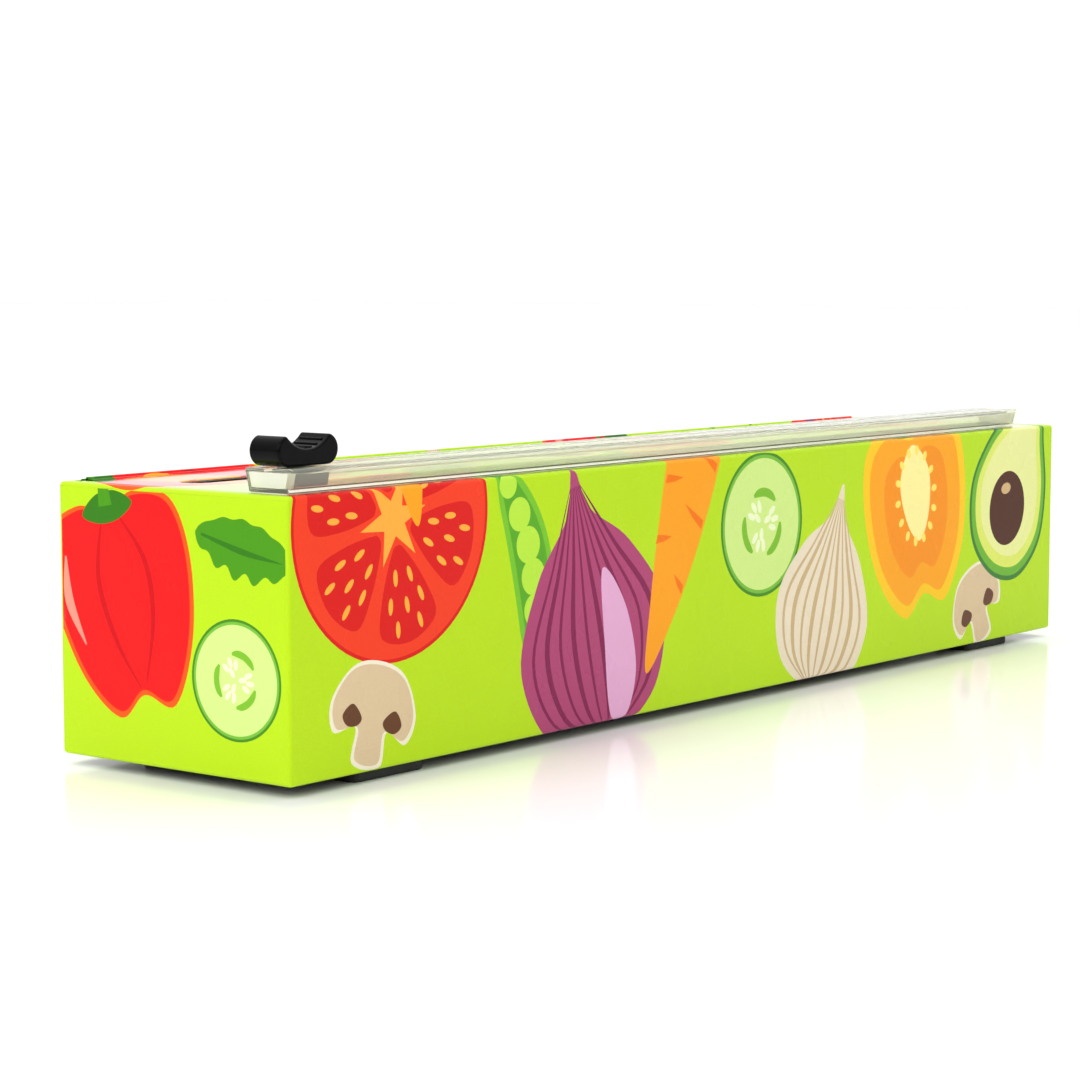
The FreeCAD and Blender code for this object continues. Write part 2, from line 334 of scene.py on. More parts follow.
def avocado():
    """Half an avocado with its round pit, 54 mm wide."""
    outline = mirrored([(0, -34), (18, -28), (27, -11), (23, 8), (13, 24), (7, 37), (0, 42)])

    def ring(share):
        return smooth_loop([(x * share, y * share) for x, y in outline])

    return [(ring(1.02), AVOCADO_EDGE), (ring(0.97), AVOCADO_SKIN), (ring(0.88), AVOCADO_FLESH),
            (ring(0.76), AVOCADO_PALE), (oval(0, -9, 12.5, 13.5), PIT),
            (oval(-4, -3, 3.4, 2.0, 32, 24), PIT_LIGHT)]


def mushroom_slice():
    """A slice through a mushroom, cap upward."""
    def cap(grow):
        half = [(8, 8 + grow), (12.5 + grow, 1), (10.5 + grow, -4.5 - grow), (4.2 + grow, -3.4),
                (3.6 + grow, -10 - grow)]
        return smooth_loop([(0, 10 + grow), *half, *((-x, y) for x, y in reversed(half))])

    drawing = [(cap(0.7), MUSHROOM_EDGE), (cap(-0.1), MUSHROOM)]
    for side in (1, -1):
        gill = [(side * x, y) for x, y in ((3.4, -1.2), (6.6, 1.2), (9.2, -1.4), (7.4, -3.4), (4.4, -3.0))]
        drawing.append((smooth_loop(gill, 6), GILLS))
    return drawing


def pepper_half():
    """Half a bell pepper, the same on both sides, with its pith and seeds in the middle."""
    outline = mirrored([(0, 27), (13, 32), (28, 25), (32, 6), (27, -17), (13, -33), (0, -28)])

    def wall(share):
        return smooth_loop([(x * share, y * share) for x, y in outline])

    drawing = [(wall(1.0), PEPPER_SKIN), (wall(0.88), PEPPER_FLESH), (wall(0.62), PEPPER_DEEP)]
    drawing.append((smooth_loop(mirrored([(0, 22), (9, 12), (7, -2), (0, -10)])), PITH))
    for step in range(14):
        angle = 2 * math.pi * step / 14
        seed = oval(11.5 * math.cos(angle), 5 + 15 * math.sin(angle), 1.7, 1.2, math.degrees(angle), 12)
        drawing.append((seed, SEED))
    drawing.append((stroke([(0, 26), (2, 34), (7, 40)], [3.2, 2.4, 2.8]), LEAF))
    return drawing


def whole_pepper():
    """A red bell pepper seen from its side."""
    body = [(-30, 6), (-27, 22), (-12, 27), (0, 23), (12, 27), (27, 22), (31, 4), (26, -20), (14, -38),
            (2, -33), (-10, -38), (-23, -22)]
    edge = [(x * 1.06, y * 1.05) for x, y in body]
    drawing = [(smooth_loop(edge), RED_EDGE), (smooth_loop(body), RED_SKIN)]
    for points in (((-3, 22), (-9, 4), (-6, -16), (1, -32)), ((5, 22), (13, 6), (12, -12), (4, -31))):
        drawing.append((stroke(points, [0.3, 1.0, 0.9, 0.2]), RED_DEEP))
    drawing.append((stroke([(-22, 14), (-24, 0), (-20, -15)], [0.4, 1.9, 0.3]), RED_SHINE))
    drawing.append((smooth_loop([(-11, 25), (-4, 30), (5, 30), (12, 25), (5, 21), (-4, 21)]), LEAF_DARK))
    drawing.append((stroke([(0, 26), (1, 33), (6, 38)], [3.0, 2.3, 2.6]), LEAF))
    return drawing


def tomato_slice():
    """A round slice with six seed chambers, 36 mm in radius."""
    drawing = [(oval(0, 0, 37, 36, count=72), TOMATO_DARK), (oval(0, 0, 36, 35, count=72), TOMATO)]
    for step in range(6):
        middle = math.radians(60 * step + 30)

        def at(radius, spread):
            return radius * math.cos(middle + spread), radius * math.sin(middle + spread)

        chamber = smooth_loop([at(9, -0.28), at(20, -0.42), at(30, -0.36), at(32, 0), at(30, 0.36),
                               at(20, 0.42), at(9, 0.28), at(7, 0)], 5)
        drawing.append((chamber, TOMATO_DARK))
        for radius, spread in ((15, -0.16), (15.5, 0.2), (22, -0.26), (22.5, 0.02), (22, 0.28),
                               (28, -0.15), (28, 0.16)):
            x, y = at(radius, spread)
            drawing.append((oval(x, y, 2.2, 0.85, math.degrees(middle + spread), 14), TOMATO_SEED))
    star = []
    for step in range(12):
        angle = math.radians(30 * step + 30)
        reach = 12.5 if step % 2 else 4.5
        star.append((reach * math.cos(angle), reach * math.sin(angle)))
    drawing.append((star, TOMATO_SEED))
    return drawing


# ---------------------------------------------------------------- where the print goes
# The main sheet is drawn flat: x runs along the box, and y runs up the front (0 to HEIGHT), back over the top
# (to HEIGHT + DEPTH) and down the back.  Each end has a drawing of its own.

TOP_START = HEIGHT
BACK_START = HEIGHT + DEPTH


def arranged(*items):
    """Drawings laid one over another, each given with its x, y, turn and size."""
    drawing = []
    for shape, *place in items:
        drawing += placed(shape, *place)
    return drawing


def main_drawing():
    """Everything printed on the front, top and back."""
    garlic = bulb(CREAM, CREAM_DARK, None, 9, 54, 24)
    onion = bulb(ONION, ONION_DARK, ONION_PALE, 10, 66, 30)
    front = arranged(
        (tomato_slice(), 34, 56, 12, 0.9),
        (pea_pod(), 70, 68, 14),
        (mushroom_slice(), 27, 13, -14, 1.1),
        (onion, 108, 24, 12),
        (carrot(), 158, 86, -22, 0.86),
        (cucumber_slice(), 182, 44, 24, 0.94),
        (garlic, 213, 20, -16),
        (pepper_half(), 262, 42, 10, 0.88),
        (mushroom_slice(), 297, 12, 22, 1.1),
        (avocado(), 318, 46, -26, 0.84),
    )
    top = arranged(
        (leaf(36, 7), 66, 84, 24),
        (whole_pepper(), 30, 122, 62, 0.9),
        (radish(), 88, 116, 76, 0.95),
        (avocado(), 134, 104, 64, 0.74),
        (whole_pepper(), 196, 116, -34, 0.82),
        (cucumber_slice(), 238, 108, 50, 0.9),
        (pea_pod(), 262, 118, 84),
        (tomato_slice(), 320, 116, 0, 0.66),
    )
    # the carrot lies across the top, with its tip on the front
    back = arranged(
        (carrot(), 22, 126, 14, 0.8),
        (tomato_slice(), 62, 166, 20, 0.74),
        (cucumber_slice(), 103, 180, 50, 0.9),
        (garlic, 134, 158, 168),
        (pea_pod(), 166, 144, 196),
        (pepper_half(), 208, 166, 176, 0.86),
        (mushroom_slice(), 244, 182, 165, 1.0),
        (radish(), 266, 160, 186, 0.95),
        (onion, 314, 166, 176),
    )
    return front + top + back


def left_end_drawing():
    """The slider's end: x from the back edge to the front, y up."""
    return arranged(
        (whole_pepper(), 20, 40, 14, 0.72),
        (cucumber_slice(), 56, 22, 8, 0.66),
        (leaf(30, 6), 44, 54, -12),
    )


def right_end_drawing():
    """The far end: x from the front edge to the back, y up."""
    return arranged(
        (pea_pod(), 12, 60, -6),
        (tomato_slice(), 54, 46, 10, 0.5),
        (mushroom_slice(), 36, 13, 20, 1.0),
    )


def underside_shade_drawing():
    """A plain dark panel of painted shade on the underside, set near black to deepen the contact shadow under
    the box: x along the box, y from the back edge to the front.
    """
    panel = rectangle(BASE_INSET, LENGTH - BASE_INSET, BASE_INSET, DEPTH - BASE_INSET)
    return [(panel, UNDERSIDE_PAINTED_SHADE)]


# ---------------------------------------------------------------- cutting a printed sheet into coloured faces


def counter_clockwise(loop):
    """The loop, turned round if it runs clockwise."""
    area = sum(a[0] * b[1] - b[0] * a[1] for a, b in zip(loop, loop[1:] + loop[:1]))
    return loop if area > 0 else loop[::-1]


def overlaps(loop, area):
    """Whether a loop's bounding box meets another's."""
    xs, ys = zip(*loop)
    axs, ays = zip(*area)
    return min(xs) < max(axs) and max(xs) > min(axs) and min(ys) < max(ays) and max(ys) > min(ays)


def cut_sheet(outline, regions, holes=(), folds=()):
    """Splits a flat sheet wherever two inks meet or it folds.

    regions is a list of (name, outline, drawing); holes are loops left out; folds are (start, end) lines.
    Returns the flat points, and faces as (corners, region name, colour).
    """
    points, loops, edges, owners = [], [], [], []

    def add(loop, owner):
        start = len(points)
        points.extend(Vector(point) for point in counter_clockwise(loop))
        loops.append(list(range(start, len(points))))
        owners.append(owner)

    add(outline, ("sheet",))
    for hole in holes:
        add(hole, ("hole",))
    for name, area, drawing in regions:
        add(area, ("region", name))
        for shape, colour in drawing:
            if overlaps(shape, area):
                add(shape, ("ink", name, colour))
    for start, end in folds:
        edges.append((len(points), len(points) + 1))
        points.extend((Vector(start), Vector(end)))
    flat, _, triangles, _, _, sources = delaunay_2d_cdt(points, edges, loops, 0, 1e-4, True)
    faces = []
    for corners, found in zip(triangles, sources):
        held = [owners[index] for index in sorted(found)]
        if ("sheet",) not in held or ("hole",) in held:
            continue
        names = [owner[1] for owner in held if owner[0] == "region"]
        name = names[-1] if names else "plain"
        inks = [owner[2] for owner in held if owner[0] == "ink" and owner[1] == name]
        faces.append((corners, name, inks[-1] if inks else LIME))
    return flat, faces


# ---------------------------------------------------------------- making pieces


def link(piece):
    """Puts an object in the scene."""
    bpy.context.scene.collection.objects.link(piece)
    return piece


def mesh_piece(name, points, faces, material, sharp=35.0):
    """A piece from points in millimetres, shaded smooth below an angle."""
    mesh = bpy.data.meshes.new(name)
    mesh.from_pydata([Vector(point) * MM for point in points], [], faces)
    mesh.materials.append(material)
    mesh.validate()
    mesh.shade_smooth()
    mesh.set_sharp_from_angle(angle=math.radians(sharp))
    return link(bpy.data.objects.new(name, mesh))


def printed_piece(name, points, faces, material, thick=PAPER):
    """A printed sheet from points in space, with each face's ink stored as a colour attribute."""
    mesh = bpy.data.meshes.new(name)
    work = bmesh.new()
    layer = work.loops.layers.float_color.new("print")
    used = {}
    for corners, _, colour in faces:
        for corner in corners:
            if corner not in used:
                used[corner] = work.verts.new(Vector(points[corner]) * MM)
        face = work.faces.new([used[corner] for corner in corners])
        face.smooth = True
        for loop in face.loops:
            loop[layer] = colour
    bmesh.ops.remove_doubles(work, verts=work.verts, dist=2e-6)
    bmesh.ops.dissolve_degenerate(work, edges=work.edges, dist=1e-6)
    work.to_mesh(mesh)
    work.free()
    mesh.materials.append(material)
    piece = link(bpy.data.objects.new(name, mesh))
    thickness = piece.modifiers.new("thickness", "SOLIDIFY")
    thickness.thickness = thick * MM
    thickness.offset = -1.0
    weighted = piece.modifiers.new("normals", "WEIGHTED_NORMAL")
    weighted.keep_sharp = True
    return piece


def bevel(piece, width, segments=2, angle=30.0):
    """Rounds a piece's sharp edges by a width in millimetres."""
    modifier = piece.modifiers.new("edges", "BEVEL")
    modifier.width = width * MM
    modifier.segments = segments
    modifier.limit_method = "ANGLE"
    modifier.angle_limit = math.radians(angle)
    modifier.harden_normals = True
    return piece


def loft(name, sections, material, sharp=35.0):
    """A closed solid through rings of points, with its ends capped."""
    count = len(sections[0])
    points = [point for section in sections for point in section]
    faces = []
    for ring in range(len(sections) - 1):
        for k in range(count):
            a = ring * count + k
            b = ring * count + (k + 1) % count
            faces.append((a, b, b + count, a + count))
    faces.append(tuple(range(count))[::-1])
    last = (len(sections) - 1) * count
    faces.append(tuple(last + k for k in range(count)))
    return mesh_piece(name, points, faces, material, sharp)


def finish_piece(piece, body, slot, *nodes):
    """Rides a piece on its body and hides the CAD nodes that it stands for. The slot is not used."""
    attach(piece, body)
    if nodes:
        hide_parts(*nodes)
    return piece


# ---------------------------------------------------------------- materials


class Finish:
    """A Principled material with helpers for its procedural detail."""

    def __init__(self, name, colour=(0.8, 0.8, 0.8, 1.0), **sockets):
        self.material = bpy.data.materials.new(name)
        self.material.use_nodes = True
        self.nodes = self.material.node_tree.nodes
        self.links = self.material.node_tree.links
        self.shader = self.nodes["Principled BSDF"]
        self.shader.inputs["Base Color"].default_value = colour
        for socket, value in sockets.items():
            self.shader.inputs[socket.replace("_", " ")].default_value = value
        self.place = self.nodes.new("ShaderNodeTexCoord").outputs["Object"]

    def noise(self, scale, detail=3.0, roughness=0.5, stretch=(1.0, 1.0, 1.0)):
        """Noise over the object's own coordinates; scale is in features per metre."""
        mapping = self.nodes.new("ShaderNodeMapping")
        mapping.inputs["Scale"].default_value = stretch
        self.links.new(self.place, mapping.inputs["Vector"])
        node = self.nodes.new("ShaderNodeTexNoise")
        node.inputs["Scale"].default_value = scale
        node.inputs["Detail"].default_value = detail
        node.inputs["Roughness"].default_value = roughness
        self.links.new(mapping.outputs["Vector"], node.inputs["Vector"])
        return node.outputs["Fac"]

    def spread(self, source, low, high, start=0.3, end=0.7):
        """A value carried from one range to another."""
        node = self.nodes.new("ShaderNodeMapRange")
        for socket, value in (("From Min", start), ("From Max", end), ("To Min", low), ("To Max", high)):
            node.inputs[socket].default_value = value
        self.links.new(source, node.inputs["Value"])
        return node.outputs["Result"]

    def colours(self, source, low, high, start=0.3, end=0.7):
        """A colour ramp between two colours."""
        node = self.nodes.new("ShaderNodeValToRGB")
        node.color_ramp.elements[0].position = start
        node.color_ramp.elements[0].color = low
        node.color_ramp.elements[1].position = end
        node.color_ramp.elements[1].color = high
        self.links.new(source, node.inputs["Fac"])
        return node.outputs["Color"]

    def multiply(self, first, second, share=1.0):
        """One colour multiplied by another."""
        node = self.nodes.new("ShaderNodeMix")
        node.data_type = "RGBA"
        node.blend_type = "MULTIPLY"
        node.inputs["Factor"].default_value = share
        self.links.new(first, node.inputs["A"])
        self.links.new(second, node.inputs["B"])
        return node.outputs["Result"]

    def drive(self, socket, source):
        """Feeds a shader socket."""
        self.links.new(source, self.shader.inputs[socket])

    def bump(self, source, height_mm, strength=1.0):
        """Relief of a height in millimetres."""
        node = self.nodes.new("ShaderNodeBump")
        node.inputs["Strength"].default_value = strength
        node.inputs["Distance"].default_value = height_mm * MM
        self.links.new(source, node.inputs["Height"])
        self.links.new(node.outputs["Normal"], self.shader.inputs["Normal"])


def grey(value):
    """A neutral colour."""
    return (value, value, value, 1.0)


def printed_paper(name, gloss, low, high):
    """Offset print under laminate: faint ink mottle, and the board's unevenness in the gloss."""
    finish = Finish(name, Roughness=high, Specular_IOR_Level=gloss)
    print_node = finish.nodes.new("ShaderNodeAttribute")
    print_node.attribute_name = "print"
    fine = finish.colours(finish.noise(2600, 2.0), grey(0.955), grey(1.0))
    broad = finish.colours(finish.noise(22, 3.0), grey(0.965), grey(1.0))
    inked = finish.multiply(print_node.outputs["Color"], fine)
    finish.drive("Base Color", finish.multiply(inked, broad))
    finish.drive("Roughness", finish.spread(finish.noise(60, 4.0), low, high))
    finish.bump(finish.noise(240, 3.0), 0.012, 0.3)
    return finish.material


def grey_board():
    """Uncoated recycled board with fibres and flecks."""
    finish = Finish("grey_board", Roughness=0.9)
    fibres = finish.noise(900, 5.0, 0.65, (1.0, 1.0, 0.35))
    finish.drive("Base Color", finish.colours(fibres, ink(120, 112, 100), ink(176, 168, 154)))
    finish.bump(fibres, 0.05, 0.6)
    return finish.material


def lining_paper():
    """White uncoated lining paper."""
    finish = Finish("lining_paper", Roughness=0.8)
    grain = finish.noise(1500, 4.0, 0.6)
    finish.drive("Base Color", finish.colours(grain, ink(196, 194, 187), ink(220, 218, 212)))
    finish.bump(grain, 0.02, 0.4)
    return finish.material


def rubber():
    """Matte black rubber with a slight bloom."""
    finish = Finish("foot_rubber", Roughness=0.75)
    bloom = finish.noise(350, 4.0)
    finish.drive("Base Color", finish.colours(bloom, ink(14, 14, 15), ink(34, 34, 35)))
    finish.drive("Roughness", finish.spread(bloom, 0.6, 0.85))
    finish.bump(finish.noise(3000, 3.0), 0.02, 0.4)
    return finish.material


def clear_plastic(name, clarity):
    """Clear extruded plastic with fine die lines along its length."""
    finish = Finish(name, ink(252, 253, 236), Roughness=0.06, IOR=1.25, Transmission_Weight=clarity)
    lines = finish.noise(900, 2.0, 0.5, (0.004, 1.0, 1.0))
    finish.drive("Roughness", finish.spread(finish.noise(300, 3.0), 0.04, 0.12))
    finish.bump(lines, 0.01, 0.3)
    return finish.material


def tape():
    """Amber double-sided tape, blotchy where it has wetted out."""
    finish = Finish("track_tape_film", Roughness=0.45)
    blotches = finish.noise(260, 4.0, 0.6)
    finish.drive("Base Color", finish.colours(blotches, ink(232, 228, 196), ink(250, 247, 224)))
    finish.drive("Roughness", finish.spread(blotches, 0.35, 0.6))
    return finish.material


def gloss_black():
    """Moulded gloss black plastic with faint handling marks."""
    finish = Finish("gloss_black", Roughness=0.18, Specular_IOR_Level=0.08)
    marks = finish.noise(500, 5.0, 0.6)
    finish.drive("Base Color", finish.colours(marks, ink(3, 3, 4), ink(9, 9, 10)))
    finish.drive("Roughness", finish.spread(marks, 0.1, 0.24))
    finish.bump(finish.noise(1400, 2.0), 0.008, 0.3)
    return finish.material


def brushed(name, dark, light, stretch):
    """Brushed or plated metal with fine lines."""
    finish = Finish(name, Metallic=1.0, Roughness=0.3)
    lines = finish.noise(1800, 3.0, 0.6, stretch)
    finish.drive("Base Color", finish.colours(lines, dark, light))
    finish.drive("Roughness", finish.spread(lines, 0.2, 0.4))
    return finish.material


def core_card():
    """Spiral-wound brown card."""
    finish = Finish("core_card", Roughness=0.85)
    fibres = finish.noise(800, 5.0, 0.65, (0.5, 1.0, 1.0))
    finish.drive("Base Color", finish.colours(fibres, ink(150, 112, 72), ink(196, 158, 112)))
    finish.bump(fibres, 0.05, 0.5)
    return finish.material


def wound_film():
    """Tightly wound clear film: whitish and glossy, with tension bands and fine rings on its ends."""
    finish = Finish("wound_film", Roughness=0.15, IOR=1.5, Transmission_Weight=0.25, Coat_Weight=0.5,
                    Coat_Roughness=0.05)
    bands = finish.noise(160, 4.0, 0.6, (1.0, 0.05, 0.05))
    finish.drive("Base Color", finish.colours(bands, ink(206, 220, 224), ink(240, 246, 247)))
    finish.drive("Roughness", finish.spread(bands, 0.08, 0.26))
    finish.bump(bands, 0.05, 0.5)
    return finish.material


MATERIALS = {
    "print": printed_paper("printed_paper", 0.1, 0.22, 0.34),
    "lid_print": printed_paper("lid_laminate", 0.6, 0.05, 0.12),
    "board": grey_board(),
    "lining": lining_paper(),
    "rubber": rubber(),
    "clear": clear_plastic("clear_plastic", 0.86),
    "plug": clear_plastic("cloudy_plastic", 0.3),
    "tape": tape(),
    "black": gloss_black(),
    "blade": brushed("blade_steel", ink(150, 152, 155), ink(214, 215, 217), (0.05, 1.0, 1.0)),
    "magnet": brushed("magnet_nickel", ink(170, 170, 168), ink(214, 213, 208), (1.0, 0.2, 1.0)),
    "plate": brushed("catch_steel", ink(140, 141, 144), ink(190, 191, 194), (0.2, 1.0, 1.0)),
    "card": core_card(),
    "film": wound_film(),
}

# ---------------------------------------------------------------- the wrapped box


def clamp(value, limit):
    """The value kept between -limit and limit."""
    return max(-limit, min(limit, value))


def outline_point(u):
    """A point on the box's sharp outline: u is 0 at the front left corner, positive along the front."""
    half_length, half_depth = LENGTH / 2, DEPTH / 2
    if u < -DEPTH:
        return -half_length - (u + DEPTH), half_depth
    if u < 0:
        return -half_length, -half_depth - u
    if u < LENGTH:
        return u - half_length, -half_depth
    return half_length, u - LENGTH - half_depth


def wrap_point(u, v):
    """The belt round the box: v is the height up a wall, then over the rim and down inside it."""
    half_length, half_depth = LENGTH / 2, DEPTH / 2
    if v < EDGE:
        angle = (v + EDGE) / (2 * EDGE) * math.pi / 2
        inset = EDGE * (1 - math.sin(angle))
        height = EDGE * (1 - math.cos(angle))
    elif v > HEIGHT - EDGE and v < HEIGHT + EDGE:
        angle = (v - HEIGHT + EDGE) / (2 * EDGE) * math.pi / 2
        inset = EDGE * (1 - math.cos(angle))
        height = HEIGHT - EDGE + EDGE * math.sin(angle)
    elif v >= HEIGHT + EDGE:
        inset = min(v - HEIGHT, RIM)
        height = HEIGHT - max(0.0, v - HEIGHT - RIM)
    else:
        inset = 0.0
        height = v
    x, y = outline_point(u)
    core_x = clamp(x, half_length - EDGE)
    core_y = clamp(y, half_depth - EDGE)
    away = Vector((x - core_x, y - core_y))
    reach = max(EDGE - inset, 0.0)
    if inset > EDGE:
        core_x = clamp(core_x, half_length - inset)
        core_y = clamp(core_y, half_depth - inset)
    if away.length > 0:
        away.normalize()
    return core_x + away.x * reach, core_y + away.y * reach, WRAP_LOW.z + height


def carried(drawing, to_sheet):
    """A drawing moved by a function of x and y."""
    return [([to_sheet(x, y) for x, y in outline], colour) for outline, colour in drawing]


def fold_offsets():
    """Where the paper is cut across a rounded edge, either side of the sharp one."""
    shares = [math.tan(math.pi / 4 * k / (CORNER_STEPS / 2)) for k in range(CORNER_STEPS // 2 + 1)]
    near = [-EDGE + EDGE * share for share in shares]
    return near + [-value for value in near[-2::-1]]


def wrapped_box():
    """The printed paper round the walls and rim, and the two end papers."""
    main = main_drawing()
    u_low, u_high = -(DEPTH + LENGTH), LENGTH + DEPTH
    v_low, v_rim, v_high = -EDGE, HEIGHT + RIM + RIM_TURN_IN, HEIGHT + RIM + BACK_TURN_IN
    back = carried(main, lambda x, y: (-DEPTH - x, BACK_START + HEIGHT - y))
    left_rim = carried(main, lambda x, y: (TOP_START - y, HEIGHT + x))
    right_rim = carried(main, lambda x, y: (LENGTH + y - TOP_START, HEIGHT + LENGTH - x))
    left = carried(left_end_drawing(), lambda x, y: (x - DEPTH, y))
    right = carried(right_end_drawing(), lambda x, y: (x + LENGTH, y))
    left_u = (-DEPTH + EDGE, -EDGE)
    right_u = (LENGTH + EDGE, LENGTH + DEPTH - EDGE)
    flat_v = (EDGE, HEIGHT - EDGE)
    regions = [
        ("front", rectangle(-EDGE, LENGTH + EDGE, v_low, v_high), main),
        ("back", rectangle(u_low, -DEPTH + EDGE, v_low, v_high), back),
        ("left_rim", rectangle(*left_u, flat_v[1], v_high), left_rim),
        ("right_rim", rectangle(*right_u, flat_v[1], v_high), right_rim),
        ("left_end", rectangle(*left_u, *flat_v), left),
        ("right_end", rectangle(*right_u, *flat_v), right),
    ]
    folds = []
    for corner in (-DEPTH, 0.0, LENGTH):
        folds += [((corner + offset, v_low), (corner + offset, v_high)) for offset in fold_offsets()]
    for edge in (-(DEPTH + LENGTH) + EDGE, LENGTH + DEPTH - EDGE):
        folds.append(((edge, v_low), (edge, v_high)))
    angles = [2 * EDGE * k / CORNER_STEPS - EDGE for k in range(CORNER_STEPS + 1)]
    levels = angles[1:] + [HEIGHT + level for level in angles] + [HEIGHT + RIM]
    folds += [((u_low, level), (u_high, level)) for level in levels]
    outline = [(u_low, v_low), (u_high, v_low), (u_high, v_rim), (-DEPTH, v_rim), (-DEPTH, v_high),
               (u_low, v_high)]
    flat, faces = cut_sheet(outline, regions, folds=folds)
    points = [wrap_point(*point) for point in flat]
    groups = {"left_end": ("left_end_print", "left_end_wrap"),
              "right_end": ("right_end_print", "right_end_wrap")}
    for region, (name, node) in groups.items():
        chosen = [face for face in faces if face[1] == region]
        piece = printed_piece(name, points, chosen, MATERIALS["print"])
        finish_piece(piece, "box", "printed_paper", node)
    rest = [face for face in faces if face[1] not in groups]
    piece = printed_piece("wall_print", points, rest, MATERIALS["print"])
    finish_piece(piece, "box", "printed_paper", "outer_wrap")


def underside():
    """The paper under the box, with its dark panel of painted shade."""
    half_length, half_depth = LENGTH / 2, DEPTH / 2
    outline = rectangle(EDGE, LENGTH - EDGE, EDGE, DEPTH - EDGE)
    flat, faces = cut_sheet(outline, [("under", outline, underside_shade_drawing())])
    points = [(x - half_length, half_depth - y, WRAP_LOW.z) for x, y in flat]
    piece = printed_piece("underside_paper_painted_shade", points, faces, MATERIALS["print"])
    finish_piece(piece, "box", "printed_paper")


# ---------------------------------------------------------------- the lid


def rounded_rectangle(x0, x1, y0, y1, radius, steps=6):
    """A rectangle's outline with rounded corners."""
    points = []
    centres = ((x1 - radius, y1 - radius), (x0 + radius, y1 - radius), (x0 + radius, y0 + radius),
               (x1 - radius, y0 + radius))
    for quarter, (x, y) in enumerate(centres):
        for step in range(steps + 1):
            angle = math.pi / 2 * (quarter + step / steps)
            points.append((x + radius * math.cos(angle), y + radius * math.sin(angle)))
    return points


def long_oval(length, width, x, y, steps=10):
    """A slot's outline: straight sides and round ends."""
    radius = width / 2
    reach = length / 2 - radius
    points = []
    for side, centre in ((0, x + reach), (1, x - reach)):
        for step in range(steps + 1):
            angle = math.pi * (side - 0.5 + step / steps)
            points.append((centre + radius * math.cos(angle), y + radius * math.sin(angle)))
    return points


def skirted(flat, faces, height, depth, edge, away):
    """Points in space and faces of a flat sheet whose borders roll over by edge and hang to depth.

    away gives the direction off the sheet at a border point.
    """
    points = [(x, y, height) for x, y in flat]
    owner = {}
    for corners, name, colour in faces:
        for a, b in zip(corners, corners[1:] + corners[:1]):
            owner[(a, b)] = (name, colour)
    border = [pair for pair in owner if (pair[1], pair[0]) not in owner]
    rings = {}
    drops = [(edge * math.sin(a), edge * (1 - math.cos(a))) for a in (math.pi / 6, math.pi / 3, math.pi / 2)]
    drops.append((edge, depth))
    for vertex in {corner for pair in border for corner in pair}:
        x, y = flat[vertex]
        off = away(x, y)
        rings[vertex] = [vertex]
        for out, down in drops:
            rings[vertex].append(len(points))
            points.append((x + off.x * out, y + off.y * out, height - down))
    skirt = []
    for pair in border:
        a, b = rings[pair[0]], rings[pair[1]]
        for ring in range(len(drops)):
            skirt.append(([b[ring], a[ring], a[ring + 1], b[ring + 1]], *owner[pair]))
    return points, faces + skirt


def lid_top():
    """The lid's printed paper: round-edged, turned down its sides and lining the film slot."""
    edge = LID_EDGE
    main = carried(main_drawing(), lambda x, y: (x - LENGTH / 2, y - TOP_START - DEPTH / 2))
    outline = rounded_rectangle(LID_LOW.x + edge, LID_HIGH.x - edge, LID_LOW.y + edge, LID_HIGH.y - edge,
                                LID_CORNER - edge)
    slot = long_oval(SLOT_LENGTH + 2 * edge, SLOT_WIDTH + 2 * edge, 0.0, SLOT_CENTRE_Y)
    flat, faces = cut_sheet(outline, [("top", rectangle(-LENGTH, LENGTH, -DEPTH, DEPTH), main)], [slot])
    slot_reach = (SLOT_LENGTH - SLOT_WIDTH) / 2
    core_x, core_low, core_high = LID_HIGH.x - LID_CORNER, LID_LOW.y + LID_CORNER, LID_HIGH.y - LID_CORNER

    def away(x, y):
        to_slot = Vector((clamp(x, slot_reach) - x, SLOT_CENTRE_Y - y))
        if to_slot.length < SLOT_WIDTH / 2 + 2 * edge:
            return to_slot.normalized()
        return Vector((x - clamp(x, core_x), y - min(max(y, core_low), core_high))).normalized()

    depth = LID_HIGH.z - LID_LOW.z
    points, faces = skirted(flat, faces, LID_HIGH.z, depth, edge, away)
    piece = printed_piece("lid_print", points, faces, MATERIALS["lid_print"])
    finish_piece(piece, "lid", "printed_paper", "lid_wrap")


